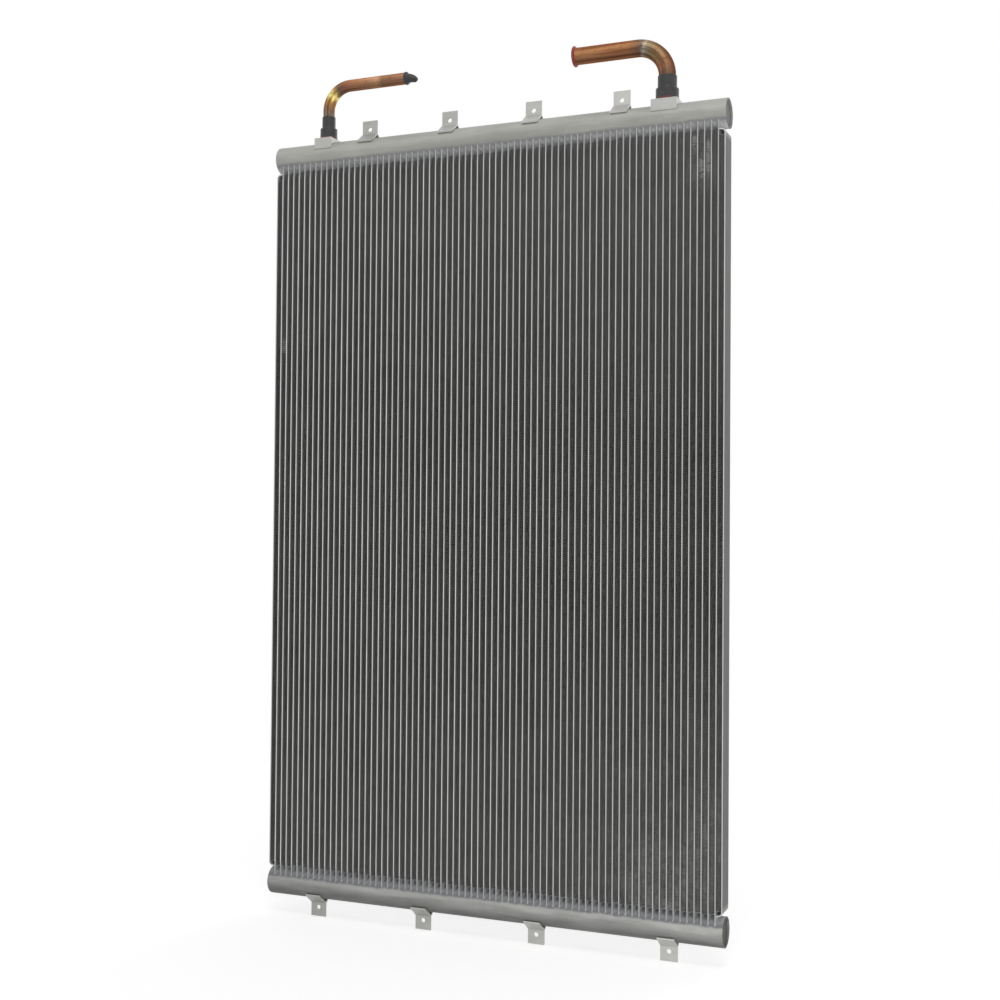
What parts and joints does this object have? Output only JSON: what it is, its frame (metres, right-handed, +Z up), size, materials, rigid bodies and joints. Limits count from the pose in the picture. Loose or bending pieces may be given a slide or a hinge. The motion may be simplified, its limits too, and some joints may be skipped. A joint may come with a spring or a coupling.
{
  "type": "microchannel condenser coil",
  "caption": "Microchannel condenser coil: flat multiport tubes and folded fins brazed between two round headers, with bolt tabs and two copper elbows on the top header.",
  "frame": {"origin": "midway between the outer pair of bottom tab holes, in the middle of the coil's depth", "axes": "+X along the headers towards the inlet side, +Y to the back through the coil's depth, +Z up along the flat tubes"},
  "size_m": [0.645, 0.038, 1.169],
  "materials": {
    "header_aluminium": "dull mill finish with faint lengthwise marks",
    "cap_aluminium": "dull, as pressed",
    "tube_aluminium": "satin, as extruded",
    "fin_aluminium": "thin folded foil, dull after brazing",
    "plate_aluminium": "dull rolled sheet",
    "tab_aluminium": "satin, as extruded",
    "copper": "drawn copper with a heat tint near the joint and the bend",
    "sleeve_black": "satin heat-shrunk sleeve",
    "cap_red": "soft moulded plastic",
    "plug_black": "matt moulded rubber"
  },
  "bodies": {
    "root": {"top_header": "header_aluminium", "bottom_header": "header_aluminium", "top_left_cap": "cap_aluminium", "top_right_cap": "cap_aluminium", "bottom_left_cap": "cap_aluminium", "bottom_right_cap": "cap_aluminium", "pass_baffle": "cap_aluminium", "condensing_tubes": "tube_aluminium", "subcooling_tubes": "tube_aluminium", "condensing_fins": "fin_aluminium", "subcooling_fins": "fin_aluminium", "left_edge_fin": "fin_aluminium", "right_edge_fin": "fin_aluminium", "left_side_plate": "plate_aluminium", "right_side_plate": "plate_aluminium", "top_tab_1": "tab_aluminium", "top_tab_2": "tab_aluminium", "top_tab_3": "tab_aluminium", "top_tab_4": "tab_aluminium", "bottom_tab_1": "tab_aluminium", "bottom_tab_2": "tab_aluminium", "bottom_tab_3": "tab_aluminium", "bottom_tab_4": "tab_aluminium", "inlet_saddle": "tab_aluminium", "inlet_stub": "cap_aluminium", "inlet_sleeve": "sleeve_black", "inlet_pipe": "copper", "inlet_cap": "cap_red", "outlet_saddle": "tab_aluminium", "outlet_stub": "cap_aluminium", "outlet_sleeve": "sleeve_black", "outlet_pipe": "copper", "outlet_plug": "plug_black"}
  },
  "joints": []
}
